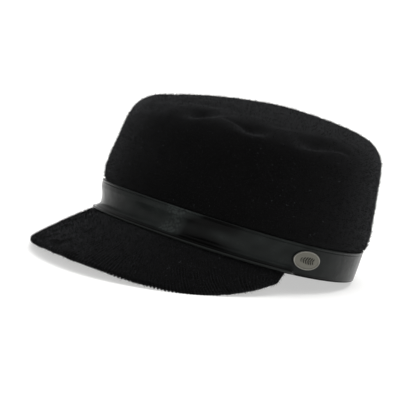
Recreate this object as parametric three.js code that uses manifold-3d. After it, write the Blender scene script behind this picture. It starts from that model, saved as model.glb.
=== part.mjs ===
// Army cap: a knitted wool cap with a tall crown and a soft top, a leather band, a knit-covered peak and an oval
// metal plate riveted to the band on the wearer's left.
//
// Millimetres. Every piece is worked out in the cap's own frame: the rim is near z = 0, +Z goes up through the crown,
// the front is -Y and the wearer's left is +X. The whole cap then leans back until the two lobes of the peak and the
// back of the band stand on the table, which is how it rests by itself.
import * as THREE from "three";
import Module from "manifold-3d";
import { mergeVertices } from "three/addons/utils/BufferGeometryUtils.js";

const wasm = await Module();
wasm.setup();

// The oval is the outside of the knit at its waist, under the band over the peak.
const OVAL = { halfWidth: 84, halfLength: 100, sideDrop: 2.6 };
const GAP = 0.3;

// Standing off the oval: the rim, how much wider it gets up to the band's top edge, and the pinch over the peak.
const WAIST = { rim: 0.9, lean: 1.5, pinch: 1.6, pinchHeight: 17, pinchFade: 20 };

const CROWN = { wall: 2.5, level: 95.2, slant: 7.2, dome: 8.4 };
// The knit behind the band: heights above the rim.
const COVERED_HEIGHTS = [0.7, 4.5, 8.5, 12.5, 17, 21.9];
// The wall above the band: height, and how far it stands off the oval.
const WALL = [
  { height: 22.9, out: 2.9 },
  { height: 24, out: 4.8 },
  { height: 27.5, out: 5.5 },
  { height: 33, out: 5.7 },
  { height: 43, out: 4.5 },
  { height: 52, out: 3.2 },
  { height: 61, out: 2 },
  { height: 70, out: 0.9 },
];
// The rounded shoulder: how far below the crown's level, and how far inside the oval.
const SHOULDER = [
  { below: 14, inside: 1.9 },
  { below: 9.5, inside: 4.4 },
  { below: 6, inside: 7.8 },
  { below: 3.4, inside: 11.8 },
  { below: 1.5, inside: 16.4 },
  { below: 0.4, inside: 21.6 },
];
// Rows of the top, as shares of the way from the shoulder to the middle.
const TOP_SHARES = [0.09, 0.19, 0.31, 0.45, 0.62, 0.82];
// Hollows of the soft top. On its plan: the place of the middle, the way it runs (degrees from across the cap
// towards the back), half its length and breadth, and its depth.
const HOLLOWS = [
  { x: 25, y: -86, along: 20, length: 13, breadth: 9, depth: 4.5 },
  { x: 57, y: -61, along: 52, length: 20, breadth: 10, depth: 6 },
  { x: 76, y: -20, along: 82, length: 20, breadth: 9, depth: 5 },
  { x: -58, y: 38, along: 120, length: 30, breadth: 13, depth: 3 },
];

const BAND = { height: 22.2, clear: 0.5, thick: 1.7, flare: 4.5, flareHeight: 4.5 };
// The leather's face, by height: its turned borders stand a little proud of a pressed groove.
const BAND_ROWS = [
  { height: 0, relief: -0.6 },
  { height: 0.5, relief: 0 },
  { height: 1.5, relief: 0.05 },
  { height: 2.1, relief: -0.4 },
  { height: 2.9, relief: -0.05 },
  { height: 5.5, relief: 0 },
  { height: 9.5, relief: 0 },
  { height: 14, relief: 0 },
  { height: 19.3, relief: -0.05 },
  { height: 20.1, relief: -0.4 },
  { height: 20.7, relief: 0.05 },
  { height: 21.7, relief: 0 },
  { height: 22.2, relief: -0.6 },
];
const BAND_BACK_HEIGHTS = [0, 1.5, 3, 6, 9.5, 13, 17, 21.6];

const PEAK = {
  halfAngle: 76,
  fadeAngle: 5,
  root: 3,
  rise: 1.9,
  thick: 3.6,
  fan: 0.22,
  sag: 0.14,
};
// The peak's edge from its middle (0) to its end (1): how far out it reaches past the root, and how far it drops.
const PEAK_EDGE = [
  { share: 0, reach: 52, drop: 29.2 },
  { share: 0.25, reach: 51, drop: 29.6 },
  { share: 0.5, reach: 45.5, drop: 30.2 },
  { share: 0.7, reach: 37.6, drop: 28.1 },
  { share: 0.85, reach: 25.1, drop: 21.4 },
  { share: 0.95, reach: 14.9, drop: 14.2 },
  { share: 1, reach: 8, drop: 9.8 },
];
const PEAK_ROWS = [0, 0.08, 0.22, 0.4, 0.58, 0.76, 0.9];

const PLATE = {
  turn: 83.5,
  height: 11.8,
  halfLength: 11.8,
  halfHeight: 6.6,
  thick: 1.3,
  crowning: 0.3,
  postRadius: 1.1,
  postSpread: 5.5,
};
// The plate's rings from the back round to the front: how far in from its edge, and how far off its back.
const PLATE_ROWS = [
  { inset: 0.2, off: 0 },
  { inset: 0, off: 0.3 },
  { inset: 0, off: 0.9 },
  { inset: 0.35, off: 1.3 },
  { inset: 0.9, off: 1.3 },
  { inset: 1.2, off: 0.95 },
  { inset: 3.3, off: 1.15 },
];

// How far the table presses the lobes of the peak and the back of the band, and a slab that stands for it.
const PRESS = 0.4;
const TABLE = { side: 400, depth: 40 };
const STEPS = { around: 64, peak: 48, plate: 32, post: 12 };
// Steps for slopes: up the band in millimetres, and along the peak as a share of its reach.
const SMALL = { height: 0.05, part: 0.01 };

const { degToRad: rad, smoothstep } = THREE.MathUtils;

/** A point by its turn from the front towards the wearer's left, how far it stands off the oval, and its height. */
function place(turn, out, height) {
  const s = Math.sin(turn);
  const c = Math.cos(turn);
  const normal = new THREE.Vector2(OVAL.halfLength * s, -OVAL.halfWidth * c).normalize();
  return new THREE.Vector3(
    OVAL.halfWidth * s + out * normal.x,
    -OVAL.halfLength * c + out * normal.y,
    height - OVAL.sideDrop * s * s,
  );
}

/** How much the peak is felt at a turn: 1 over the peak, falling to 0 over the fade angle that ends past it. */
function overPeak(turn, fade = PEAK.fadeAngle) {
  const away = Math.abs(THREE.MathUtils.euclideanModulo(turn + Math.PI, 2 * Math.PI) - Math.PI);
  const past = rad(PEAK.halfAngle + PEAK.fadeAngle);
  return 1 - smoothstep(away, past - rad(fade), past);
}

/** How far the knit stands off the oval behind the band. */
function waist(turn, height) {
  const pinch = Math.sin(Math.PI * Math.min(height / WAIST.pinchHeight, 1));
  const lean = (WAIST.lean * height) / BAND.height;
  return WAIST.rim + lean - overPeak(turn, WAIST.pinchFade) * WAIST.pinch * pinch;
}

/** Turns of the rows that go all the way round. Half a step's offset puts one at each end of the peak. */
const turns = Array.from({ length: STEPS.around }, (_, i) => (2 * Math.PI * (i + 0.5)) / STEPS.around);

/** Joins rings of points into a closed skin: each to the next, and the last to the first where it closes. */
function skin(rings, closes = false) {
  const count = rings[0].length;
  const index = [];
  for (let i = 0; i < rings.length - (closes ? 0 : 1); i++) {
    const a = i * count;
    const b = ((i + 1) % rings.length) * count;
    for (let j = 0; j < count; j++) {
      const k = (j + 1) % count;
      index.push(a + j, a + k, b + k, a + j, b + k, b + j);
    }
  }
  const geometry = new THREE.BufferGeometry().setFromPoints(rings.flat());
  geometry.setIndex(index);
  return solid(geometry);
}

/** A geometry as a solid that can be cut: shared corners merged, and a pole's empty triangles dropped. */
function solid(geometry) {
  const bare = geometry.clone();
  bare.deleteAttribute("normal");
  bare.deleteAttribute("uv");
  const merged = mergeVertices(bare, 1e-4);
  const corners = merged.index.array;
  const kept = [];
  for (let i = 0; i < corners.length; i += 3) {
    const [a, b, c] = corners.slice(i, i + 3);
    if (a !== b && b !== c && c !== a) kept.push(a, b, c);
  }
  return new wasm.Manifold(
    new wasm.Mesh({
      numProp: 3,
      vertProperties: merged.attributes.position.array,
      triVerts: new Uint32Array(kept),
    }),
  );
}

/** A ring that is one point, which closes a skin. */
function pole(point, count) {
  return Array.from({ length: count }, () => point.clone());
}

/** The depth of the hollows at a point of the top's plan. */
function hollowDepth(x, y) {
  let depth = 0;
  for (const hollow of HOLLOWS) {
    const along = rad(hollow.along);
    const dx = x - hollow.x;
    const dy = y - hollow.y;
    const u = (dx * Math.cos(along) + dy * Math.sin(along)) / hollow.length;
    const v = (dy * Math.cos(along) - dx * Math.sin(along)) / hollow.breadth;
    depth += hollow.depth * Math.exp(-u * u - v * v);
  }
  return depth;
}

/** The crown's outer rows, from the hem up the wall and over the shoulder to the middle of the top. */
function crownRows() {
  const rows = COVERED_HEIGHTS.map((height) => turns.map((turn) => place(turn, waist(turn, height), height)));
  for (const { height, out } of WALL) rows.push(turns.map((turn) => place(turn, out, height)));
  for (const { below, inside } of SHOULDER) {
    rows.push(
      turns.map((turn) => {
        const point = place(turn, -inside, 0);
        point.z = CROWN.level - CROWN.slant * Math.cos(turn) - below;
        return point;
      }),
    );
  }
  const edge = rows.at(-1);
  const { below } = SHOULDER.at(-1);
  for (const share of [...TOP_SHARES, 1]) {
    const left = 1 - share;
    rows.push(
      edge.map((point, i) => {
        const height = CROWN.level - CROWN.slant * Math.cos(turns[i]) * left - below * left;
        return new THREE.Vector3(point.x * left, point.y * left, height + CROWN.dome * (1 - left * left));
      }),
    );
  }
  for (const row of rows.slice(-TOP_SHARES.length - SHOULDER.length - 1)) {
    for (const point of row) point.z -= hollowDepth(point.x, point.y);
  }
  return rows;
}

/** The same rows moved in by the wall's thickness, each point square to the surface around it. */
function insideRows(rows, thickness) {
  return rows.map((row, i) =>
    row.map((point, j) => {
      if (i === rows.length - 1) return point.clone().setZ(point.z - thickness);
      const below = rows[Math.max(i - 1, 0)][j];
      const above = rows[i + 1][j];
      const before = row.at(j - 1);
      const after = row[(j + 1) % row.length];
      const across = new THREE.Vector3().subVectors(after, before);
      const normal = across.cross(new THREE.Vector3().subVectors(above, below)).normalize();
      if (i === 0) normal.setZ(0).normalize();
      return point.clone().addScaledVector(normal, -thickness);
    }),
  );
}

/** The crown: its outer rows joined to fewer rows of the same form inside, round the hem. */
function makeCrown() {
  const outer = crownRows();
  const inner = insideRows(outer, CROWN.wall).filter((_, i) => i % 2 === 0 || i === outer.length - 1);
  return skin([...outer, ...inner.reverse()], true);
}

/** The leather's face in the upright plane at a turn: x is off the oval, y is the height. */
function bandFace(turn, height) {
  const felt = overPeak(turn);
  const flare = felt * BAND.flare * Math.max(1 - height / BAND.flareHeight, 0) ** 2;
  const lifted = height + felt * (PEAK.rise + GAP) * (1 - height / BAND.height);
  return new THREE.Vector2(waist(turn, lifted) + BAND.clear + BAND.thick + flare, lifted);
}

/** The band: its face with the turned borders, its plain back, and the holes for the plate's posts. */
function makeBand() {
  const profile = (turn, height, inward) => {
    const face = bandFace(turn, height);
    const up = bandFace(turn, height + SMALL.height).sub(bandFace(turn, height - SMALL.height));
    const normal = new THREE.Vector2(up.y, -up.x).normalize();
    return face.addScaledVector(normal, -inward);
  };
  const ring = (height, inward) =>
    turns.map((turn) => {
      const point = profile(turn, height, inward);
      return place(turn, point.x, point.y);
    });
  const face = BAND_ROWS.map(({ height, relief }) => ring(height, -relief));
  const back = BAND_BACK_HEIGHTS.map((height) => ring(height, BAND.thick));
  const holes = postBars(PLATE.postRadius + GAP, -2 * BAND.thick, BAND.thick);
  return holes.reduce((band, hole) => band.subtract(hole), skin([...face, ...back.reverse()], true));
}

/** Smooth values between the rows of the peak's edge: its reach and its drop. */
const peakEdge = new THREE.CubicInterpolant(
  PEAK_EDGE.map(({ share }) => share),
  PEAK_EDGE.flatMap(({ reach, drop }) => [reach, drop]),
  2,
);
peakEdge.settings = { endingStart: THREE.ZeroSlopeEnding, endingEnd: THREE.ZeroCurvatureEnding };

/** A point of the peak's upper face: share runs from end to end (-1 to 1), part from its root (0) to its edge (1). */
function peakFace(share, part) {
  const turn = share * rad(PEAK.halfAngle);
  const [reach, drop] = peakEdge.evaluate(Math.abs(share));
  const point = place(turn, PEAK.root, PEAK.rise);
  point.x += part * reach * Math.sin(turn * PEAK.fan);
  point.y -= part * reach * Math.cos(turn * PEAK.fan);
  point.z -= drop * part * (1 - PEAK.sag + PEAK.sag * part);
  return point;
}

/** The peak's section at a share: out over the upper face, round the edge and back under the lower face. */
function peakSection(share) {
  const radius = PEAK.thick / 2;
  const turn = share * rad(PEAK.halfAngle);
  const side = new THREE.Vector3(Math.cos(turn), Math.sin(turn), 0);
  const [reach] = peakEdge.evaluate(Math.abs(share));
  const top = place(turn, WAIST.rim + GAP, PEAK.rise);
  const upper = [top];
  const lower = [top.clone().setZ(top.z - PEAK.thick)];
  for (const row of [...PEAK_ROWS, 1]) {
    const part = row * (1 - radius / reach);
    const out = peakFace(share, part + SMALL.part).sub(peakFace(share, part - SMALL.part));
    const normal = out.cross(side).normalize();
    const point = peakFace(share, part);
    upper.push(point);
    lower.push(point.clone().addScaledVector(normal, -PEAK.thick));
  }
  const rise = upper.at(-1).clone().sub(lower.at(-1)).multiplyScalar(0.5);
  const middle = upper.at(-1).clone().sub(rise);
  const out = peakFace(share, 1).sub(peakFace(share, 1 - SMALL.part)).setLength(radius);
  const edge = [45, 90, 135].map((angle) =>
    middle.clone().addScaledVector(rise, Math.cos(rad(angle))).addScaledVector(out, Math.sin(rad(angle))),
  );
  return [...upper, ...edge, ...lower.reverse()];
}

/** The peak: sections from one end to the other, closed at both. */
function makePeak() {
  const sections = [];
  for (let i = 0; i <= STEPS.peak; i++) sections.push(peakSection((2 * i) / STEPS.peak - 1));
  const centre = (section) =>
    section.reduce((sum, point) => sum.add(point), new THREE.Vector3()).divideScalar(section.length);
  const count = sections[0].length;
  return skin([pole(centre(sections[0]), count), ...sections, pole(centre(sections.at(-1)), count)]);
}

/** A point over the band's face near the plate: along and up from its middle, and how far off the face. */
function overPlate(along, up, off) {
  const turn = rad(PLATE.turn) + along / OVAL.halfLength;
  const height = PLATE.height + up;
  return place(turn, bandFace(turn, height).x + off, height);
}

/** The plate's outline at one level, drawn in by the inset. */
function plateRing(inset, off) {
  const ring = [];
  for (let i = 0; i < STEPS.plate; i++) {
    const angle = (2 * Math.PI * i) / STEPS.plate;
    const along = (PLATE.halfLength - inset) * Math.cos(angle);
    const up = (PLATE.halfHeight - inset) * Math.sin(angle);
    ring.push(overPlate(along, up, off));
  }
  return ring;
}

/** Round bars square to the band, from one distance off its face to another: the plate's posts, or their holes. */
function postBars(radius, from, to) {
  return [-1, 1].map((side) => {
    const start = overPlate(side * PLATE.postSpread, 0, from);
    const end = overPlate(side * PLATE.postSpread, 0, to);
    const way = end.clone().sub(start).normalize();
    const bar = new THREE.CylinderGeometry(radius, radius, to - from, STEPS.post);
    bar.applyQuaternion(new THREE.Quaternion().setFromUnitVectors(new THREE.Vector3(0, 1, 0), way));
    bar.translate(...start.add(end).multiplyScalar(0.5));
    return solid(bar);
  });
}

/** The plate, crowned inside a raised border, with the two posts that hold it on the band. */
function makePlate() {
  const rings = [
    pole(overPlate(0, 0, GAP), STEPS.plate),
    ...PLATE_ROWS.map(({ inset, off }) => plateRing(inset, GAP + off)),
    pole(overPlate(0, 0, GAP + PLATE_ROWS.at(-2).off + PLATE.crowning), STEPS.plate),
  ];
  const posts = postBars(PLATE.postRadius, -BAND.thick, GAP + PLATE.thick / 2);
  return posts.reduce((plate, post) => plate.add(post), skin(rings));
}

const pieces = {
  crown: makeCrown(),
  band: makeBand(),
  peak: makePeak(),
  badge: makePlate(),
};

const materials = {
  crown: new THREE.MeshStandardMaterial({ color: 0x101112, roughness: 1, metalness: 0 }),
  band: new THREE.MeshStandardMaterial({ color: 0x1b1d1c, roughness: 0.38, metalness: 0 }),
  peak: new THREE.MeshStandardMaterial({ color: 0x131415, roughness: 1, metalness: 0 }),
  badge: new THREE.MeshStandardMaterial({ color: 0x8d8e86, roughness: 0.45, metalness: 0.8 }),
};

/** A solid's corners. */
function cornersOf(piece) {
  const { vertProperties } = piece.getMesh();
  const corners = [];
  for (let i = 0; i < vertProperties.length; i += 3) corners.push(new THREE.Vector3().fromArray(vertProperties, i));
  return corners;
}

/** How far the cap leans back when the peak's lowest part and the back of the band meet one plane. */
function leanAtRest() {
  const back = place(Math.PI, bandFace(Math.PI, 0).x - BAND.thick / 2, 0);
  return Math.max(...cornersOf(pieces.peak).map(({ y, z }) => Math.atan2(back.z - z, back.y - y)));
}

const stand = new THREE.Matrix4().makeRotationX(-leanAtRest());
const touching = [...cornersOf(pieces.peak), ...cornersOf(pieces.band)].map((point) => point.applyMatrix4(stand).z);
stand.premultiply(new THREE.Matrix4().makeTranslation(0, 0, -PRESS - Math.min(...touching)));

// The table presses the lobes of the peak and the back of the band flat.
const table = new THREE.BoxGeometry(TABLE.side, TABLE.side, TABLE.depth);
table.translate(0, 0, -TABLE.depth / 2);
table.applyMatrix4(stand.clone().invert());
for (const name of ["band", "peak"]) pieces[name] = pieces[name].subtract(solid(table));

const cap = new THREE.Group();
for (const [name, piece] of Object.entries(pieces)) {
  const { vertProperties, triVerts } = piece.getMesh();
  const geometry = new THREE.BufferGeometry();
  geometry.setAttribute("position", new THREE.BufferAttribute(vertProperties, 3));
  geometry.setIndex(new THREE.BufferAttribute(triVerts, 1));
  const mesh = new THREE.Mesh(geometry, materials[name]);
  mesh.name = name;
  cap.add(mesh);
}
cap.applyMatrix4(stand);

const centre = new THREE.Box3().setFromObject(cap, true).getCenter(new THREE.Vector3());
cap.position.y -= centre.y;

export default cap;
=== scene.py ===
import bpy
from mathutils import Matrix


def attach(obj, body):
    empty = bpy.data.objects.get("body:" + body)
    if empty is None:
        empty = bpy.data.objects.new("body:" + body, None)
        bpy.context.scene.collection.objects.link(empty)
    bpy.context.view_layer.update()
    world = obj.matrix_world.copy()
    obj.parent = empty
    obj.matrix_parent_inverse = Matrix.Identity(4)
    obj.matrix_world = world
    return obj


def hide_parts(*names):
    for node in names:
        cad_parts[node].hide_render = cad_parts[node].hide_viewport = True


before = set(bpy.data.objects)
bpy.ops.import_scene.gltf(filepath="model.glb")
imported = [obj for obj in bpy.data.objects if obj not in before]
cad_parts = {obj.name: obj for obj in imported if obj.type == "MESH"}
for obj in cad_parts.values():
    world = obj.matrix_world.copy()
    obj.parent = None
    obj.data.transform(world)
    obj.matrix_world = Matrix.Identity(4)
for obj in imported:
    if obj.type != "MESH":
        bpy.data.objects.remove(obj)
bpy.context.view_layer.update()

import logging
import math
from dataclasses import dataclass
from enum import Enum
from functools import partial

import bmesh
import bpy
import numpy as np
from mathutils import Matrix, Vector, noise

log = logging.getLogger("army_cap")
Array = np.ndarray
Span = tuple[float, float]
Ends = tuple[float, float, float, float]
Colour = tuple[float, float, float, float]
Inputs = dict[int | str, object]

# Sizes are millimetres in the cap's own frame: the rim is near z = 0, the front is -Y and the
# wearer's left is +X.
MM = 0.001
TURN = 2 * math.pi
# The gap between pieces that lie on each other.
GAP = 0.3
# What a length is never taken to be less than, so that nothing is divided by zero.
TINY = 1e-9
# How far each seed moves the noise along each axis.
SEED_WAY = (1, 2.3, -1.7)


class Slot(Enum):
    """The record's material slots."""

    CROWN = "crown_knit"
    BAND = "band_leather"
    PEAK = "peak_knit"
    BADGE = "badge_metal"


class Mark(Enum):
    """Names of the attributes that the pieces carry for their finishes."""

    TOP = "top"
    NAP = "nap"
    EDGE = "edge"
    KNIT = "knit"
    PALE = "pale"
    RUB = "rub"


@dataclass(frozen=True)
class Stand:
    """How the cap stands: it leans back and rests on the lobes of its peak and the back of its band."""

    lean: float = math.radians(8.37)
    back: float = 23.21
    up: float = 14.48

    def turned(self) -> Matrix:
        """The lean alone."""
        return Matrix.Rotation(-self.lean, 4, "X")

    def moved(self) -> Matrix:
        """From the cap's own frame in millimetres to the shared frame in metres."""
        shift = Matrix.Translation(Vector((0, self.back, self.up)) * MM)
        return shift @ self.turned() @ Matrix.Scale(MM, 4)


STAND = Stand()


def smoothstep(value: Array | float, low: float, high: float) -> Array | float:
    """Rises smoothly from 0 at the low limit to 1 at the high one.

    Args:
        value: What is tested.
        low: Where the rise begins.
        high: Where it ends.

    Returns:
        The share of the rise, of the value's own shape.
    """
    share = np.clip((value - low) / (high - low), 0, 1)
    return share * share * (3 - 2 * share)


def bell(away: Array, breadth: float) -> Array:
    """A smooth hump, 1 in its middle and nearly 0 at two breadths from it."""
    return np.exp(-((away / breadth) ** 2))


def from_front(turn: Array) -> Array:
    """The same turn, as one of half a turn at most to either side of the front."""
    return np.mod(turn + math.pi, TURN) - math.pi


def through(at: Array, values: Array, wanted: Array, level_start: bool = False) -> Array:
    """Draws a smooth curve through given values.

    Args:
        at: Where the values are given, rising.
        values: The values, one row for each place.
        wanted: Where the curve is asked for.
        level_start: Whether the curve starts level.

    Returns:
        One row of values for each place asked for.
    """
    slopes = np.gradient(values, at, axis=0)
    if level_start:
        slopes[0] = 0
    index = np.clip(np.searchsorted(at, wanted, side="right") - 1, 0, len(at) - 2)
    shape = (-1,) + (1,) * (values.ndim - 1)
    span = (at[index + 1] - at[index]).reshape(shape)
    t = (wanted - at[index]).reshape(shape) / span
    start, end = values[index], values[index + 1]
    rise = 3 * (end - start) - span * (2 * slopes[index] + slopes[index + 1])
    turn = 2 * (start - end) + span * (slopes[index] + slopes[index + 1])
    return start + t * (span * slopes[index] + t * (rise + t * turn))


@dataclass(frozen=True)
class Ripple:
    """A smooth irregularity: how far apart its swells are, which one it is, and how high it is."""

    size: float
    seed: float
    height: float = 1

    def at(self, points: Array) -> Array:
        """How high it is at places.

        Args:
            points: Places, in the last axis.

        Returns:
            About minus to plus its height for each place.
        """
        shift = Vector([step * self.seed for step in SEED_WAY])
        flat = points.reshape(-1, 3) / self.size
        found = [noise.noise(Vector(place) + shift) for place in flat]
        return self.height * np.array(found).reshape(points.shape[:-1])


def normals_of(grid: Array, wraps: bool) -> Array:
    """The directions square to a grid of points.

    Args:
        grid: Rows of points.
        wraps: Whether each row closes on itself.

    Returns:
        Unit vectors, along the cross product of a row's way and the way from row to row.
    """
    if wraps:
        along = np.roll(grid, -1, axis=1) - np.roll(grid, 1, axis=1)
    else:
        along = np.gradient(grid, axis=1)
    across = np.gradient(grid, axis=0)
    found = np.cross(along, across)
    return found / np.maximum(np.linalg.norm(found, axis=-1, keepdims=True), TINY)


def distances(grid: Array, axis: int) -> Array:
    """How far along one way of a grid its points lie, as a mean over the other way."""
    steps = np.linalg.norm(np.diff(grid, axis=axis), axis=-1).mean(axis=1 - axis)
    return np.concatenate([[0], np.cumsum(steps)])


def half_round(first: Array, out: Array, rows: int) -> list[Array]:
    """Directions round a folded edge, which turn by half a turn from one side to the other.

    Args:
        first: The directions square to the first side.
        out: The directions past the edge.
        rows: How many steps lie between the two sides.

    Returns:
        The directions for each step.
    """
    angles = [math.radians(180 * (row + 1) / (rows + 1)) for row in range(rows)]
    return [math.cos(angle) * first + math.sin(angle) * out for angle in angles]


class Skin:
    """A skin drawn out ring by ring in a bmesh, and placed by grids of points."""

    def __init__(self, rings: Array) -> None:
        """Draws out a skin.

        Args:
            rings: The points of each ring.
        """
        self.mesh = bmesh.new()
        self.count = rings.shape[1]
        self.spoke = self.mesh.verts.layers.int.new("spoke")
        self.row = self.mesh.verts.layers.int.new("row")
        self.rows = 0
        self.first: list[bmesh.types.BMEdge] = []
        self.edges: list[bmesh.types.BMEdge] = []
        for ring in rings:
            self.draw_out(ring)

    def draw_out(self, points: Array) -> None:
        """Adds a ring.

        Args:
            points: The ring's points.
        """
        if self.rows == 0:
            ring = bmesh.ops.create_circle(self.mesh, segments=self.count, radius=1)["verts"]
            self.edges = self.first = list(self.mesh.edges)
            for vert in ring:
                share = math.atan2(vert.co.y, vert.co.x) / TURN
                vert[self.spoke] = round(share * self.count) % self.count
        else:
            made = bmesh.ops.extrude_edge_only(self.mesh, edges=self.edges)["geom"]
            ring = [item for item in made if isinstance(item, bmesh.types.BMVert)]
            edges = [item for item in made if isinstance(item, bmesh.types.BMEdge)]
            self.edges = [edge for edge in edges if edge.is_boundary]
        for vert in ring:
            vert.co = points[vert[self.spoke]]
            vert[self.row] = self.rows
        self.rows += 1

    def close_ends(self) -> None:
        """Draws the first and the newest ring together into poles."""
        for row in (0, self.rows - 1):
            ring = [vert for vert in self.mesh.verts if vert[self.row] == row]
            middle = sum((vert.co for vert in ring), Vector()) / len(ring)
            bmesh.ops.pointmerge(self.mesh, verts=ring, merge_co=middle)

    def join_ends(self) -> None:
        """Bridges the newest ring to the first."""
        bmesh.ops.bridge_loops(self.mesh, edges=self.first + self.edges)

    def mark(self, name: Mark, values: Array) -> None:
        """Gives the points an attribute.

        Args:
            name: The attribute.
            values: One value for each row and spoke, or what can be spread over them.
        """
        layer = self.mesh.verts.layers.float.new(name.value)
        spread = np.broadcast_to(values, (self.rows, self.count))
        for vert in self.mesh.verts:
            vert[layer] = spread[vert[self.row], vert[self.spoke]]

    def lay_map(self, rings: Array, rows: Array, rings_first: bool) -> None:
        """Lays the knit's UV map.

        Args:
            rings: A value for each spoke, and one more for the seam.
            rows: A value for each row.
            rings_first: Whether the rings' value is the map's first.
        """
        layer = self.mesh.loops.layers.uv.new(Mark.KNIT.value)
        for face in self.mesh.faces:
            spokes = [loop.vert[self.spoke] for loop in face.loops]
            at_seam = max(spokes) - min(spokes) > 1
            for loop, spoke in zip(face.loops, spokes):
                place = self.count if at_seam and spoke == 0 else spoke
                pair = (rings[place], rows[loop.vert[self.row]])
                loop[layer].uv = pair if rings_first else pair[::-1]

    def stand(self, name: str) -> bpy.types.Object:
        """Stands the skin in the shared frame, flat where it rests.

        Args:
            name: The piece's name.

        Returns:
            The piece.
        """
        if self.mesh.calc_volume(signed=True) < 0:
            bmesh.ops.reverse_faces(self.mesh, faces=self.mesh.faces)
        bmesh.ops.transform(self.mesh, matrix=STAND.moved(), space=Matrix(), verts=self.mesh.verts)
        for vert in self.mesh.verts:
            vert.co.z = max(vert.co.z, 0)
        return as_piece(self.mesh, name)


def as_piece(made: bmesh.types.BMesh, name: str) -> bpy.types.Object:
    """Turns a finished bmesh into a smooth piece.

    Args:
        made: The bmesh, which is used up.
        name: The piece's name.

    Returns:
        The piece, at the origin.
    """
    mesh = bpy.data.meshes.new(name)
    made.to_mesh(mesh)
    made.free()
    mesh.shade_smooth()
    piece = bpy.data.objects.new(name, mesh)
    bpy.context.scene.collection.objects.link(piece)
    return piece


def points_of(mesh: bpy.types.Mesh) -> Array:
    """Reads a mesh's points.

    Args:
        mesh: The mesh.

    Returns:
        One row for each point, in metres.
    """
    points = np.empty(len(mesh.vertices) * 3, dtype=np.float32)
    mesh.vertices.foreach_get("co", points)
    return points.reshape(-1, 3)


def hand_over(piece: bpy.types.Object, material: bpy.types.Material, node: str = "") -> None:
    """Gives a piece its finish and its place in the object.

    Args:
        piece: The piece.
        material: The finish.
        node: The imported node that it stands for, if it does.
    """
    piece.data.materials.append(material)
    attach(piece, "root")
    if node:
        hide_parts(node)
    points = points_of(piece.data).astype(float) / MM
    low, high = points.min(axis=0).round(1).tolist(), points.max(axis=0).round(1).tolist()
    log.info("%s: %d faces, from %s to %s mm", piece.name, len(piece.data.polygons), low, high)


@dataclass(frozen=True)
class Oval:
    """The outside of the knit at its waist, seen from above."""

    half_width: float = 84
    half_length: float = 100
    side_drop: float = 2.6

    def place(self, turn: Array, out: Array | float, height: Array | float) -> Array:
        """A point near the oval.

        Args:
            turn: The turn from the front towards the wearer's left.
            out: How far it stands off the oval.
            height: Its height above the rim's level.

        Returns:
            The point, in the last axis.
        """
        turn, out, height = np.broadcast_arrays(turn, out, height)
        s, c = np.sin(turn), np.cos(turn)
        nx, ny = self.half_length * s, -self.half_width * c
        size = np.hypot(nx, ny)
        x = self.half_width * s + out * nx / size
        y = -self.half_length * c + out * ny / size
        return np.stack([x, y, height - self.side_drop * s * s], axis=-1)


OVAL = Oval()


@dataclass(frozen=True)
class PeakSpan:
    """Where the peak's root lies: the turns over which it is felt, and its height above the rim."""

    half_angle: float = math.radians(76)
    past: float = math.radians(5)
    rise: float = 1.9

    def felt(self, turn: Array, fade: float) -> Array:
        """How much the peak is felt.

        Args:
            turn: The turn from the front.
            fade: Over how large a turn it fades, which ends just past the peak.

        Returns:
            1 over the peak, and 0 past it.
        """
        end = self.half_angle + self.past
        return 1 - smoothstep(np.abs(from_front(turn)), end - fade, end)


SPAN = PeakSpan()


@dataclass(frozen=True)
class Waist:
    """How far the knit stands off the oval behind the band."""

    rim: float = 0.9
    lean: float = 1.5
    pinch: float = 1.6
    pinch_height: float = 17
    pinch_fade: float = math.radians(20)
    band_height: float = 22.2

    def out(self, turn: Array, height: Array | float) -> Array:
        """The distance off the oval.

        Args:
            turn: The turn from the front.
            height: The height above the rim's level.

        Returns:
            The distance at each turn and height.
        """
        pinch = np.sin(math.pi * np.minimum(height / self.pinch_height, 1))
        lean = self.lean * height / self.band_height
        return self.rim + lean - SPAN.felt(turn, self.pinch_fade) * self.pinch * pinch


WAIST = Waist()


@dataclass(frozen=True)
class Dent:
    """A hollow or a fold of the soft top, on its plan.

    The way it runs is in degrees from across the cap to the back.
    """

    x: float
    y: float
    along: float
    length: float
    breadth: float
    depth: float

    def at(self, x: Array, y: Array) -> Array:
        """How deep it is.

        Args:
            x: How far to the wearer's left on the plan.
            y: How far to the back on it.

        Returns:
            The depth at each place.
        """
        way = math.radians(self.along)
        dx, dy = x - self.x, y - self.y
        u = (dx * math.cos(way) + dy * math.sin(way)) / self.length
        v = (dy * math.cos(way) - dx * math.sin(way)) / self.breadth
        return self.depth * np.exp(-u * u - v * v)


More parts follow.
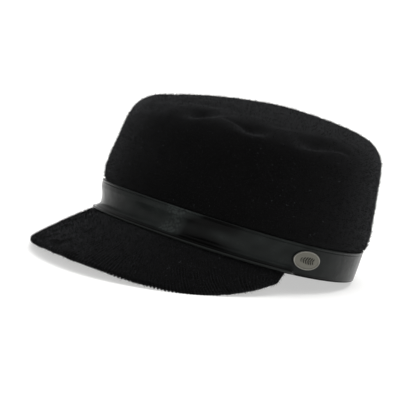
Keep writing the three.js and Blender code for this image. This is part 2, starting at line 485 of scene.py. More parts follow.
@dataclass
class Crown:
    """The knitted crown: a tall wall, a rounded shoulder and a soft top, hollow inside."""

    around: int = 300
    row_step: float = 1.5
    inner_step: int = 4
    hem_rows: int = 3
    wall: float = 2.5
    level: float = 95.2
    slant: float = 7.2
    dome: float = 8.4
    girth: float = 600
    wale: float = 2.2
    plain_height: float = 43
    # How high the swells of the soft wool are, and how rough it is on the wall and further on the top.
    softness: float = 0.35
    swells: tuple[Ripple, ...] = (Ripple(46, 3.1), Ripple(19, 7.7, 0.5))
    lumps: Ripple = Ripple(7, 1.3)
    wall_lumps: float = 0.2
    top_lumps: float = 0.5
    # The nap begins past the band, at these distances from the hem, and the top has less of it.
    nap_from: Span = (23, 25)
    calm: float = 0.65
    covered: tuple[float, ...] = (0.7, 4.5, 8.5, 12.5, 17, 21.9)
    # Height, and how far the wall stands off the oval.
    side: tuple[Span, ...] = (
        (22.9, 2.9), (24, 4.8), (27.5, 5.5), (33, 5.7), (43, 4.5), (52, 3.2), (61, 2), (70, 0.9),
    )
    # The rows of the side between which the swells come in.
    free_rows: tuple[int, int] = (2, 5)
    # How much closer the foot of the wall lies at the front, and at which heights.
    snug: tuple[float, ...] = (-0.7, 0.7, 0.8, 0.5, 0)
    snug_heights: tuple[float, ...] = (22.9, 24, 27.5, 33, 43)
    # How far below the crown's level, and how far inside the oval.
    shoulder: tuple[Span, ...] = ((14, 1.9), (9.5, 4.4), (6, 7.8), (3.4, 11.8), (1.5, 16.4), (0.4, 21.6))
    # How many rows past the wall the top and its dents take to come in.
    top_rows: int = 4
    dent_rows: int = 3
    top_shares: tuple[float, ...] = (0.09, 0.19, 0.31, 0.45, 0.62, 0.82, 0.985)
    dents: tuple[Dent, ...] = (
        Dent(19, -80, 55, 10, 8, 5.4),
        Dent(26, -86, 52, 8, 4, -0.8),
        Dent(41, -67, 38, 11, 2.2, 1.1),
        Dent(51, -61, 48, 12, 7, 5),
        Dent(60, -65, 52, 14, 4.6, -0.8),
        Dent(72, -19, 84, 19, 6, 5.8),
        Dent(79, -14, 84, 17, 4, -0.1),
        Dent(77.5, 3, 80, 8, 1.6, 1.3),
        Dent(-14, -92, 170, 13, 3, 1.3),
        Dent(4, -60, 28, 24, 7, 1.2),
        Dent(-58, 38, 120, 30, 13, 3),
    )

    def key_rows(self, turns: Array) -> tuple[Array, int]:
        """The rows that the tables give, from the hem to the middle of the top.

        Args:
            turns: The turns of the points of each row.

        Returns:
            The rows, and how many of them lie below the shoulder.
        """
        rows = [OVAL.place(turns, WAIST.out(turns, height), height) for height in self.covered]
        tilt = self.slant * np.cos(turns)
        stretch = 1 - tilt / (self.level - self.shoulder[0][0] - self.plain_height)
        ahead = 0.5 + 0.5 * np.cos(turns)
        for height, out in self.side:
            past = max(height - self.plain_height, 0)
            snug = np.interp(height, self.snug_heights, self.snug) * ahead
            rows.append(OVAL.place(turns, out - snug, height - past + past * stretch))
        wall_rows = len(rows)
        for below, inside in self.shoulder:
            row = OVAL.place(turns, -inside, 0)
            row[:, 2] = self.level - tilt - below
            rows.append(row)
        edge, below = rows[-1], self.shoulder[-1][0]
        for share in self.top_shares:
            left = 1 - share
            height = self.level - tilt * left - below * left + self.dome * (1 - left * left)
            rows.append(np.column_stack([edge[:, 0] * left, edge[:, 1] * left, height]))
        return np.array(rows), wall_rows

    def outer_rows(self) -> tuple[Array, Array, Array]:
        """The fine rows of the outside.

        Returns:
            The rows, how much each is part of the top, and each one's distance from the hem.
        """
        turns = TURN * np.arange(self.around) / self.around
        keys, wall_rows = self.key_rows(turns)
        at = distances(keys, 0)
        wanted = np.linspace(0, at[-1], round(at[-1] / self.row_step) + 1)
        rows = through(at, keys, wanted)
        last = wall_rows - 1
        top = smoothstep(wanted, at[last], at[last + self.top_rows])
        shown = smoothstep(wanted, at[last], at[last + self.dent_rows])[:, None]
        for dent in self.dents:
            rows[..., 2] -= dent.at(rows[..., 0], rows[..., 1]) * shown
        begin, end = (at[len(self.covered) + row] for row in self.free_rows)
        free = smoothstep(wanted, begin, end)[:, None]
        rough = self.wall_lumps + self.top_lumps * top[:, None]
        swell = sum(each.at(rows) for each in self.swells) + rough * self.lumps.at(rows)
        rows += normals_of(rows, True) * (self.softness * free * swell)[..., None]
        return rows, top, wanted

    def build(self) -> bpy.types.Object:
        """Makes the crown's skin, from the middle inside, round the hem, to the middle outside.

        Returns:
            The piece.
        """
        outer, top, lengths = self.outer_rows()
        inner = (outer - self.wall * normals_of(outer, True))[:: self.inner_step][::-1]
        hem_normal = (outer[0] - inner[-1]) / self.wall
        middle = (outer[0] + inner[-1]) / 2
        ways = half_round(-hem_normal, np.array([0, 0, -1]), self.hem_rows)
        hem = [middle + self.wall / 2 * way for way in ways]
        skin = Skin(np.concatenate([inner[:1], inner, hem, outer, outer[-1:]]))
        inside = len(inner) + len(hem) + 1
        distance = np.concatenate([-np.linspace(lengths[-1], 0, inside), lengths, lengths[-1:]])
        girth = round(self.girth / self.wale) * self.wale
        skin.lay_map(np.arange(self.around + 1) / self.around * girth, distance, True)
        share = np.concatenate([np.zeros(inside), top, top[-1:]])
        skin.mark(Mark.TOP, share[:, None])
        nap = smoothstep(distance, *self.nap_from) * (1 - self.calm * share)
        skin.mark(Mark.NAP, nap[:, None])
        skin.close_ends()
        return skin.stand("knit_crown")


@dataclass
class Band:
    """The leather band, with turned borders and a flare where it rides over the peak."""

    around: int = 360
    face_rows: int = 72
    back_rows: int = 12
    height: float = WAIST.band_height
    clear: float = 0.5
    thick: float = 1.7
    flare: float = 4.5
    flare_height: float = 4.5
    spread: float = 0.7
    peak_fade: float = math.radians(5)
    edge_radius: float = 0.6
    # Distances in from the edge between which the leather is no longer dry.
    dry_edge: Span = (0.1, 0.45)
    groove_in: float = 1.8
    foot_groove_in: float = 0.95
    groove_depth: float = 0.42
    groove_breadth: float = 0.36
    border_rise: float = 0.12
    border_breadth: float = 0.5
    # The slack of the leather, and the distances in from the edge between which it comes in.
    slack: tuple[Ripple, ...] = (Ripple(17, 4.4, 0.26), Ripple(6, 9.1, 0.104))
    slack_from: Span = (2.4, 6)
    # How far apart the two heights are that give the way up the face.
    probe: float = 0.05
    # The turn in degrees, and how grey the leather is painted there above and below, and in the middle. The
    # grey is partly rubbed wear and partly painted reflection of the room's bright and dark places.
    rubs_and_reflections: tuple[tuple[float, float, float], ...] = (
        (-180, 0.4, 0.4), (-60, 0.35, 0.35), (-14, 0.15, 0.15), (-6, 0.3, 0.3), (0, 0.42, 0.42),
        (13, 0.4, 0.4), (18, 0.5, 0.45), (22, 0.85, 0.65), (27, 1, 0.75), (30, 0.4, 0.45),
        (32, 0.03, 0.15), (38, 0, 0.15), (43, 0, 0.35), (46, 0.04, 0.55), (49, 0.12, 0.55),
        (53, 0.3, 0.5), (60, 0.45, 0.45), (100, 0.4, 0.4), (180, 0.4, 0.4),
    )
    # The middle's breadth as a share of the height, and how many degrees the rubs and painted reflections
    # lean for each millimetre up, how many they wander, and how uneven they are.
    rub_and_reflection_middle: float = 0.17
    rub_and_reflection_lean: float = 0.25
    rub_and_reflection_wander: Ripple = Ripple(13, 6.6, 4)
    rub_and_reflection_mottle: Ripple = Ripple(8, 2.9, 0.35)
    # How much is left of the rubs and painted reflections at the foot, and the heights between which they
    # come in.
    foot_rub_and_reflection: float = 0.06
    foot_fade: Span = (1, 3)

    def face(self, turn: Array, height: Array) -> Array:
        """The leather's face in the upright plane at a turn.

        Args:
            turn: The turns.
            height: The heights on the leather.

        Returns:
            How far off the oval and how high, in the last axis.
        """
        turn, height = np.broadcast_arrays(turn, height)
        felt = SPAN.felt(turn, self.peak_fade)
        flare = felt * self.flare * np.maximum(1 - height / self.flare_height, 0) ** 2
        lifted = height + felt * (SPAN.rise + GAP) * (1 - height / self.height)
        spread = felt * self.spread * (height / self.height) ** 2
        out = WAIST.out(turn, lifted) + self.clear + self.thick + flare + spread
        return np.stack([out, lifted], axis=-1)

    def relief(self, turn: Array, height: Array) -> Array:
        """How far the face stands proud of its plain form: round edges, pressed grooves and slack.

        Args:
            turn: The turns.
            height: The heights on the leather.

        Returns:
            The distance at each turn and height.
        """
        inside = np.minimum(height, self.height - height)
        past = np.clip(1 - inside / self.edge_radius, 0, 1)
        round_off = self.edge_radius * (1 - np.sqrt(1 - past * past))
        groove_in = np.where(height < self.height / 2, self.foot_groove_in, self.groove_in)
        groove = self.groove_depth * bell(inside - groove_in, self.groove_breadth)
        border = self.border_rise * bell(inside - groove_in / 2, self.border_breadth)
        slack = sum(each.at(OVAL.place(turn, 0, height)) for each in self.slack)
        return border - round_off - groove + slack * smoothstep(inside, *self.slack_from)

    def paler(self, turn: Array, height: Array) -> Array:
        """How grey the leather is painted: partly rubbed wear, partly painted reflection.

        Args:
            turn: The turns.
            height: The heights on the leather.

        Returns:
            The share at each turn and height.
        """
        places = OVAL.place(turn, 0, height)
        lean = self.rub_and_reflection_lean * (height - self.height / 2)
        at = np.degrees(from_front(turn)) + self.rub_and_reflection_wander.at(places) - lean
        turns, outer, inner = np.array(self.rubs_and_reflections).T
        middle = bell(height / self.height - 0.5, self.rub_and_reflection_middle)
        rub = np.interp(at, turns, outer) * (1 - middle) + np.interp(at, turns, inner) * middle
        rub *= 1 + self.rub_and_reflection_mottle.at(places)
        rub *= self.foot_rub_and_reflection + (1 - self.foot_rub_and_reflection) * smoothstep(height, *self.foot_fade)
        return np.clip(rub, 0, 1)

    def build(self) -> bpy.types.Object:
        """Makes the band: sections of the leather, drawn out all the way round.

        Returns:
            The piece.
        """
        turns = (TURN * np.arange(self.around) / self.around)[:, None]
        ease = np.linspace(-1, 1, self.face_rows)
        heights = self.height * (0.5 + 0.5 * np.sin(ease * math.pi / 2))
        backs = np.linspace(self.height - self.edge_radius, 0, self.back_rows)
        along = np.concatenate([heights, backs])[None, :]
        inward = np.concatenate([np.zeros(self.face_rows), np.full(self.back_rows, self.thick)])[None, :]
        inward = inward - np.where(inward > 0, 0, self.relief(turns, along))
        up = self.face(turns, along + self.probe) - self.face(turns, along - self.probe)
        up /= np.linalg.norm(up, axis=-1, keepdims=True)
        square = np.stack([up[..., 1], -up[..., 0]], axis=-1)
        section = self.face(turns, along) - inward[..., None] * square
        skin = Skin(OVAL.place(turns, section[..., 0], section[..., 1]))
        inside = np.minimum(along, self.height - along)
        skin.mark(Mark.EDGE, 1 - smoothstep(inside, *self.dry_edge))
        # Painted reflection: this grey share is partly rubbed wear and partly the room's reflections painted
        # into the colour.
        skin.mark(Mark.RUB, self.paler(turns, along))
        skin.join_ends()
        return skin.stand("leather_band")


@dataclass
class Peak:
    """The knit-covered peak: a stiff crescent with fine ribs that fan out to its edge."""

    root: float = 3
    thick: float = 3.6
    fan: float = 0.22
    sag: float = 0.14
    samples: int = 2001
    rib_rows: int = 4
    upper_rows: int = 30
    lower_rows: int = 14
    arc_rows: int = 7
    # Share of the way to the end, how far the edge reaches past the root, and how far it drops.
    edge: tuple[tuple[float, float, float], ...] = (
        (0, 52, 29.2), (0.25, 51, 29.6), (0.5, 45.5, 30.2), (0.7, 37.6, 28.1),
        (0.85, 25.1, 21.4), (0.95, 14.9, 14.2), (1, 8, 9.8),
    )
    # A rib's share at the edge, and its share at the root.
    ribs: tuple[Span, ...] = ((0, 0), (0.3, 0.22), (0.5, 0.29), (0.7, 0.44), (0.85, 0.65), (1, 1))
    # How far apart the ribs are, how high, and how far from the edge they fade.
    rib: float = 2.5
    rib_depth: float = 0.4
    rib_fade: float = 26
    # How much of the ribs is left where they are faint, and how much more there is in patches.
    faint: float = 0.15
    in_patches: float = 1.2
    patches: Ripple = Ripple(6.5, 8.2)
    patch_limits: Span = (-0.05, 0.4)
    wander: Ripple = Ripple(4.5, 5.5, 0.4)
    # The ribs stay clear right along the edge, over this breadth.
    edge_rib: float = 0.28
    edge_breadth: float = 3.5
    # The nap begins at these distances from the crown, and ends at these past the edge.
    nap_from: Span = (3, 6)
    nap_until: Span = (12, 20)

    def surface(self, share: Array, part: Array) -> Array:
        """Points of the plain upper face.

        Args:
            share: From end to end, -1 to 1.
            part: From the root, 0, to the edge, 1.

        Returns:
            The points, in the last axis.
        """
        share, part = np.broadcast_arrays(share, part)
        table = np.array(self.edge)
        found = through(table[:, 0], table[:, 1:], np.abs(share).ravel(), level_start=True)
        reach, drop = found.reshape(*share.shape, 2).transpose(2, 0, 1)
        turn = share * SPAN.half_angle
        points = OVAL.place(turn, self.root, SPAN.rise)
        points[..., 0] += part * reach * np.sin(turn * self.fan)
        points[..., 1] -= part * reach * np.cos(turn * self.fan)
        points[..., 2] -= drop * part * (1 - self.sag + self.sag * part)
        return points

    def at_root(self, share: Array) -> Array:
        """The share at the root of the rib that has a share at the edge."""
        edge, root = np.array(self.ribs).T
        return np.sign(share) * through(edge, root, np.abs(share).ravel()).reshape(share.shape)

    def along_ribs(self, share: Array, part: Array) -> Array:
        """Points of the upper face, where the share is the rib's at the edge."""
        root = self.at_root(share)
        return self.surface(root + (share - root) * part, part)

    def shares(self) -> tuple[Array, Array]:
        """Where the ribs' columns lie.

        Returns:
            The columns' shares at the edge, and their distances along it.
        """
        fine = np.linspace(-1, 1, self.samples)
        arc = distances(self.along_ribs(fine[:, None], np.ones((1, 1))), 0)
        columns = round(arc[-1] / self.rib) * self.rib_rows + 1
        wanted = np.linspace(0, arc[-1], columns)
        return np.interp(wanted, arc, fine), wanted

    def sections(self, shares: Array) -> tuple[Array, Array]:
        """The plain skin: root, upper face, round edge, lower face and root again.

        Args:
            shares: The columns' shares at the edge, each in a row of its own.

        Returns:
            A row of points for each column, and the directions square to the skin there.
        """
        radius = self.thick / 2
        ends = [self.along_ribs(shares, np.full((1, 1), part)) for part in (0.0, 1.0)]
        reach = np.linalg.norm(ends[1] - ends[0], axis=-1)
        parts = np.linspace(0, 1, self.upper_rows)[None, :] * (1 - radius / reach)
        upper = self.along_ribs(shares, parts)
        normals = normals_of(upper, False)
        out = upper[:, -1] - upper[:, -2]
        out /= np.linalg.norm(out, axis=-1, keepdims=True)
        middle = upper[:, -1] - radius * normals[:, -1]
        ways = np.stack(half_round(normals[:, -1], out, self.arc_rows), axis=1)
        back = np.linspace(self.upper_rows - 1, 0, self.lower_rows).round().astype(int)
        lower = (upper - self.thick * normals)[:, back]
        inner = OVAL.place(self.at_root(shares) * SPAN.half_angle, WAIST.rim + GAP, SPAN.rise)
        under = inner - np.array([0, 0, self.thick])
        grid = np.concatenate([inner, upper, middle[:, None] + radius * ways, lower, under], axis=1)
        square = [normals[:, :1], normals, ways, -normals[:, back], -normals[:, :1]]
        return grid, np.concatenate(square, axis=1)

    def relief(self, grid: Array, arc: Array, past_edge: Array) -> Array:
        """How far the ribs stand proud of the plain skin.

        Args:
            grid: The plain skin.
            arc: Each column's distance along the edge, each in a row of its own.
            past_edge: How far past the edge each point of a column lies.

        Returns:
            The distance at each point.
        """
        wave = np.cos(TURN * arc / self.rib)
        patchy = smoothstep(self.patches.at(grid), *self.patch_limits)
        ribs = wave * (self.faint + self.in_patches * patchy) + self.wander.at(grid) * patchy
        proud = self.rib_depth * bell(past_edge, self.rib_fade) * ribs
        proud += self.edge_rib * wave * bell(past_edge, self.edge_breadth)
        proud[:, [0, -1]] = 0
        return proud

    def build(self) -> bpy.types.Object:
        """Makes the peak: sections along the ribs, drawn out from end to end.

        Returns:
            The piece.
        """
        shares, arc = self.shares()
        grid, square = self.sections(shares[:, None])
        distance = distances(grid, 1)
        edge_at = distance[self.upper_rows + self.arc_rows // 2]
        grid = grid + self.relief(grid, arc[:, None], distance - edge_at)[..., None] * square
        skin = Skin(np.concatenate([grid[:1], grid, grid[-1:]]))
        spokes = np.concatenate([distance, distance[-1:]])
        skin.lay_map(spokes, np.concatenate([arc[:1], arc, arc[-1:]]), False)
        begin, end = (edge_at + past for past in self.nap_until)
        nap = smoothstep(distance, *self.nap_from) * (1 - smoothstep(distance, begin, end))
        skin.mark(Mark.NAP, nap)
        skin.close_ends()
        return skin.stand("ribbed_peak")


@dataclass
class Badge:
    """The oval metal plate: crowned inside a raised border, with a plain leaf sprig and two hidden posts."""

    band: Band
    turn: float = math.radians(83.5)
    height: float = 11.8
    half_length: float = 11.8
    half_height: float = 6.6
    thick: float = 1.3
    around: int = 120
    # The border's breadth, and how worn the metal is there and on the field.
    rim: float = 1.0
    rim_wear: float = 1
    field_wear: float = 0.5
    # The posts' size, how far each is from the middle, and how much of the leather they go through.
    post_radius: float = 1.1
    post_sides: int = 16
    post_spread: float = 5.5
    post_reach: float = 0.75
    # How high the sprig lies, and how far its stem reaches past the leaves, its half breadth and half height.
    field: float = 1.12
    stem: tuple[float, float, float] = (0.6, 0.16, 0.2)
    # A leaf's half length, half breadth and half height, and how much shorter the last pairs are.
    leaf: tuple[float, float, float] = (1.7, 0.55, 0.36)
    leaf_shrink: float = 0.45
    leaf_angle: float = math.radians(54)
    leaf_step: float = 2.1
    leaf_shift: float = 0.3
    leaf_pairs: int = 6
    # From the back round to the front: how far in from the edge, and how far off the back.
    rows: tuple[Span, ...] = (
        (6.5, 0), (3.3, 0), (0.5, 0), (0.2, 0.02), (0.05, 0.12), (0, 0.3), (0, 0.9), (0.06, 1.12),
        (0.2, 1.25), (0.38, 1.32), (0.58, 1.34), (0.76, 1.29), (0.9, 1.1), (1, 0.97), (1.15, 0.94),
        (1.7, 0.98), (2.4, 1.03), (3.3, 1.08), (4.4, 1.13), (5.5, 1.17), (6.5, 1.19),
    )

    def over(self, along: Array, up: Array, off: Array | float) -> Array:
        """Points over the band's face near the plate.

        Args:
            along: How far along the band from the plate's middle.
            up: How far up from it.
            off: How far off the band's face.

        Returns:
            The points, in the last axis.
        """
        turn = self.turn + along / OVAL.half_length
        height = self.height + up
        return OVAL.place(turn, self.band.face(turn, height)[..., 0] + off, height)

    def settle(self, made: bmesh.types.BMesh) -> None:
        """Lays a flat shape on the band.

        Args:
            made: The shape, whose z is off the plate's back.
        """
        flat = np.array([vert.co for vert in made.verts])
        for vert, point in zip(made.verts, self.over(flat[:, 0], flat[:, 1], GAP + flat[:, 2])):
            vert.co = point

    def build(self) -> bpy.types.Object:
        """Makes the plate, its sprig and its posts as one piece.

        Returns:
            The piece.
        """
        angles = TURN * np.arange(self.around) / self.around
        inset, off = np.array(self.rows).T[..., None]
        x = (self.half_length - inset) * np.cos(angles)
        y = (self.half_height - inset) * np.sin(angles)
        skin = Skin(np.stack([x, y, np.broadcast_to(off, x.shape)], axis=-1))
        skin.mark(Mark.EDGE, np.where(inset < self.rim, self.rim_wear, self.field_wear))
        skin.close_ends()
        # The sprig and the posts keep an edge mark of 0, so they take the metal's darkest colour.
        self.add_sprig(skin.mesh)
        end = -GAP - self.post_reach * self.band.thick
        for side in (-1, 1):
            middle = (self.post_spread * side, 0, (self.thick / 2 + end) / 2)
            bmesh.ops.create_cone(
                skin.mesh, cap_ends=True, segments=self.post_sides, radius1=self.post_radius,
                radius2=self.post_radius, depth=self.thick / 2 - end, matrix=Matrix.Translation(middle),
            )
        self.settle(skin.mesh)
        return skin.stand("oval_badge")

    def add_sprig(self, made: bmesh.types.BMesh) -> None:
        """Raises a plain sprig on the field: a stem with pairs of leaves.

        Args:
            made: The flat plate.
        """
        reach = self.leaf_step * self.leaf_pairs / 2
        past, breadth, height = self.stem
        shape = Matrix.Diagonal((reach + past, breadth, height, 1))
        stem = Matrix.Translation((0, 0, self.field)) @ shape
        bmesh.ops.create_icosphere(made, subdivisions=3, radius=1, matrix=stem)
        for pair in range(self.leaf_pairs):
            along = pair * self.leaf_step - reach + self.leaf_shift
            shrink = 1 - self.leaf_shrink * abs(along / reach) ** 2
            for side in (-1, 1):
                length, breadth = self.leaf[0] * shrink, self.leaf[1] * shrink
                turned = Matrix.Rotation(side * self.leaf_angle, 4, "Z")
                place = Matrix.Translation((along, 0, self.field)) @ turned
                shape = Matrix.Diagonal((length, breadth, self.leaf[2], 1))
                leaf = place @ Matrix.Translation((length, 0, 0)) @ shape
                bmesh.ops.create_icosphere(made, subdivisions=2, radius=1, matrix=leaf)


def in_order(corners: Array) -> Array:
    """Puts triangles in one order, because Blender's operators give them in another one each time.

    Args:
        corners: The numbers of each triangle's points.

    Returns:
        The triangles by rising numbers, each with its lowest number first.
    """
    turned = (np.argmin(corners, axis=1)[:, None] + np.arange(3)) % 3
    corners = np.take_along_axis(corners, turned, axis=1)
    return corners[np.lexsort(corners.T[::-1])]


@dataclass(frozen=True)
class Fuzz:
    """Loose fibres that stand off a knit: thin spikes, joined into one piece."""

    name: str
    count: int
    seed: int
    length: float = 1.7
    breadth: float = 0.2
    lean: float = 1.3
    pale_share: float = 0.008
    # The shortest fibre and how much longer the longest is, as shares of the length.
    shortest: float = 0.35
    longer: float = 1.3
    # The heights above the floor between which the fibres come in.
    clear: Span = (0.5, 2.5)
    # The turns of a fibre's three sides, and its faces by the numbers of its four points.
    sides: tuple[float, ...] = (0, 2.1, 4.2)
    faces: tuple[tuple[int, int, int], ...] = ((0, 1, 3), (1, 2, 3), (2, 0, 3), (2, 1, 0))

    def grow(self, knit: bpy.types.Object) -> bpy.types.Object:
        """Grows the fibres on a knit.

        Args:
            knit: The piece that they stand on, with its nap marked.

        Returns:
            The fibres, as a piece.
        """
        mesh = knit.data
        mesh.calc_loop_triangles()
        corners = np.empty(len(mesh.loop_triangles) * 3, dtype=np.int32)
        mesh.loop_triangles.foreach_get("vertices", corners)
        corners = in_order(corners.reshape(-1, 3))
        nap = np.empty(len(mesh.vertices), dtype=np.float32)
        mesh.attributes[Mark.NAP.value].data.foreach_get("value", nap)
        places = points_of(mesh)[corners]
        square = np.cross(places[:, 1] - places[:, 0], places[:, 2] - places[:, 0])
        area = np.linalg.norm(square, axis=1)
        low, high = (height * MM for height in self.clear)
        weight = area * nap[corners].mean(axis=1) * smoothstep(places[..., 2].min(axis=1), low, high)
        rng = np.random.default_rng(self.seed)
        pick = rng.choice(len(area), self.count, p=weight / weight.sum())
        share = rng.dirichlet((1, 1, 1), self.count)
        base = np.einsum("ij,ijk->ik", share, places[pick])
        up = square[pick] / area[pick][:, None]
        astray = rng.normal(size=(self.count, 3))
        astray -= up * np.einsum("ij,ij->i", astray, up)[:, None]
        astray /= np.linalg.norm(astray, axis=1, keepdims=True)
        way = up + self.lean * rng.random((self.count, 1)) * astray
        way /= np.linalg.norm(way, axis=1, keepdims=True)
        stretch = self.shortest + self.longer * rng.random((self.count, 1)) ** 2
        tip = base + self.length * MM * stretch * way
        across = np.cross(up, astray)
        radius = self.breadth * MM / 2
        ring = [base + radius * (math.cos(a) * across + math.sin(a) * astray) for a in self.sides]
        verts = np.stack([*ring, tip], axis=1).reshape(-1, 3)
        verts[:, 2] = np.maximum(verts[:, 2], 0)
        start = 4 * np.arange(self.count)[:, None, None]
        faces = (start + np.array(self.faces)).reshape(-1, 3)
        fibres = bpy.data.meshes.new(self.name)
        fibres.from_pydata(verts.tolist(), [], faces.tolist())
        fibres.update()
        pale = np.repeat(rng.random(self.count) < self.pale_share, 4).astype(np.float32)
        fibres.attributes.new(Mark.PALE.value, "FLOAT", "POINT").data.foreach_set("value", pale)
        piece = bpy.data.objects.new(self.name, fibres)
        bpy.context.scene.collection.objects.link(piece)
        return piece


def linear(code: str) -> Colour:
    """Turns an sRGB hex colour to the linear values that a shader takes."""
    parts = [int(code[i : i + 2], 16) / 255 for i in (1, 3, 5)]
    return (*[part / 12.92 if part <= 0.04045 else ((part + 0.055) / 1.055) ** 2.4 for part in parts], 1)


def add_node(
    tree: bpy.types.NodeTree,
    kind: str,
    settings: dict[str, object] | None = None,
    inputs: Inputs | tuple | None = None,
    stops: list[tuple[float, Colour]] | None = None,
) -> bpy.types.Node:
    """Adds a node, with its settings and what goes into it.

    Args:
        tree: The nodes that it joins.
        kind: The node's type.
        settings: Its options.
        inputs: What goes into it, in order, or by name or number. Each is a value, a node's
            output, or a node whose first output is meant.
        stops: A ramp's places from 0 to 1, and their colours.

    Returns:
        The node.
    """
    node = tree.nodes.new(kind)
    for name, value in (settings or {}).items():
        setattr(node, name, value)
    named = dict(enumerate(inputs)) if isinstance(inputs, tuple) else inputs or {}
    for name, value in named.items():
        source = value.outputs[0] if isinstance(value, bpy.types.Node) else value
        if isinstance(source, bpy.types.NodeSocket):
            tree.links.new(source, node.inputs[name])
        else:
            node.inputs[name].default_value = source
    if stops:
        elements = node.color_ramp.elements
        elements.remove(elements[1])
        elements[0].position, elements[0].color = stops[0]
        for place, colour in stops[1:]:
            elements.new(place).color = colour
    return node


@dataclass(frozen=True)
class Finish:
    """A material. Each finish says what goes into its shader."""

    name: str

    def surface(self, tree: bpy.types.NodeTree) -> Inputs:
        """What goes into the shader."""
        raise NotImplementedError

    def tooth(self, tree: bpy.types.NodeTree, size: float, depth: float, strength: float) -> bpy.types.Node:
        """Adds a fine even roughness.

        Args:
            tree: The material's nodes.
            size: How far apart its grains are.
            depth: How deep it is.
            strength: How much of it shows.

        Returns:
            The node that bends the surface's normals.
        """
        place = add_node(tree, "ShaderNodeTexCoord")
        grains = {"Vector": place.outputs["Object"], "Scale": 1 / (size * MM), "Detail": 2.0}
        rough = add_node(tree, "ShaderNodeTexNoise", inputs=grains)
        bump = {"Height": rough, "Distance": depth * MM, "Strength": strength}
        return add_node(tree, "ShaderNodeBump", inputs=bump)

    def make(self) -> bpy.types.Material:
        """Makes the material.

        Returns:
            The material.
        """
        material = bpy.data.materials.new(self.name)
        material.use_nodes = True
        tree = material.node_tree
        tree.nodes.clear()
        shader = add_node(tree, "ShaderNodeBsdfPrincipled", inputs=self.surface(tree))
        add_node(tree, "ShaderNodeOutputMaterial", inputs={"Surface": shader})
        return material


